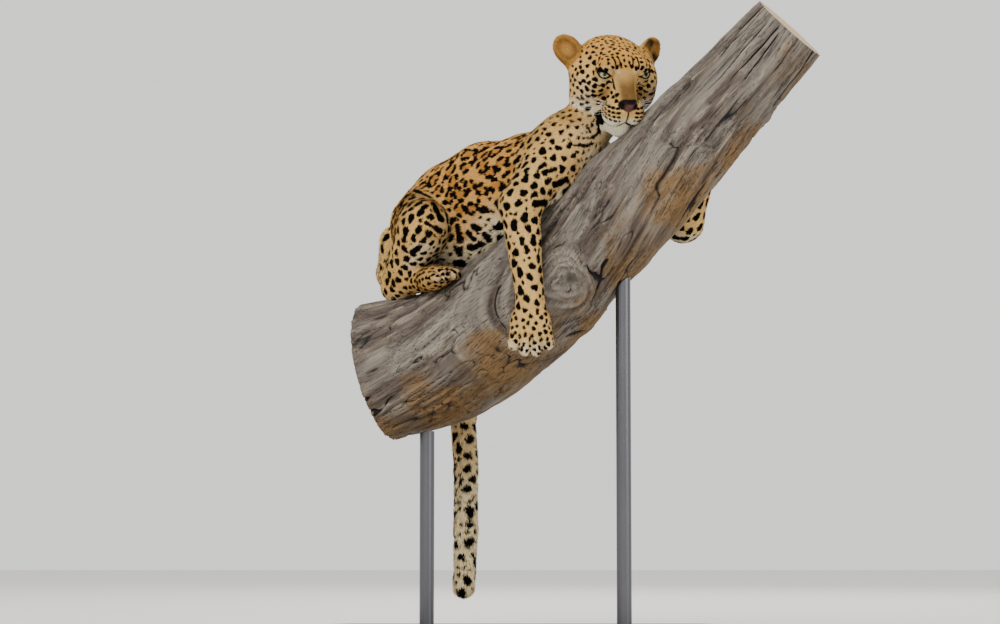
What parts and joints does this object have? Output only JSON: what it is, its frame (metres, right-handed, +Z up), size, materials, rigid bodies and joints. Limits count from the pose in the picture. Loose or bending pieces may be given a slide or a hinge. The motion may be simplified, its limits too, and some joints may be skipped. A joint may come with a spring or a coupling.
{
  "type": "leopard model",
  "caption": "Still, life-size leopard lying along a sloping cut branch with its tail hanging, held up by two rods on a flat display base.",
  "frame": {"origin": "centre of the display base's underside", "axes": "+X along the base towards the leopard's head, +Y away from the viewer of the picture, +Z up"},
  "size_m": [0.9916, 0.6822, 1.2574],
  "materials": {
    "coat": "short golden fur with black rosettes, whitish below",
    "eye": "wet, pale greenish grey",
    "branch_wood": "bare weathered grey wood with long cracks",
    "stand_paint": "satin black",
    "stand_metal": "brushed"
  },
  "bodies": {
    "root": {"head": "coat", "ear_right": "coat", "ear_left": "coat", "eye_right": "eye", "eye_left": "eye", "neck": "coat", "torso": "coat", "foreleg_right_upper": "coat", "foreleg_right_lower": "coat", "forepaw_right": "coat", "foreleg_left_upper": "coat", "foreleg_left_lower": "coat", "forepaw_left": "coat", "hindleg_right_thigh": "coat", "hindleg_right_shank": "coat", "hindfoot_right": "coat", "hindleg_left_thigh": "coat", "hindleg_left_shank": "coat", "hindfoot_left": "coat", "tail_root": "coat", "tail_middle": "coat", "tail_tip": "coat", "perch_branch": "branch_wood", "stand_base": "stand_paint", "stand_rod_rear": "stand_metal", "stand_rod_front": "stand_metal"}
  },
  "joints": []
}
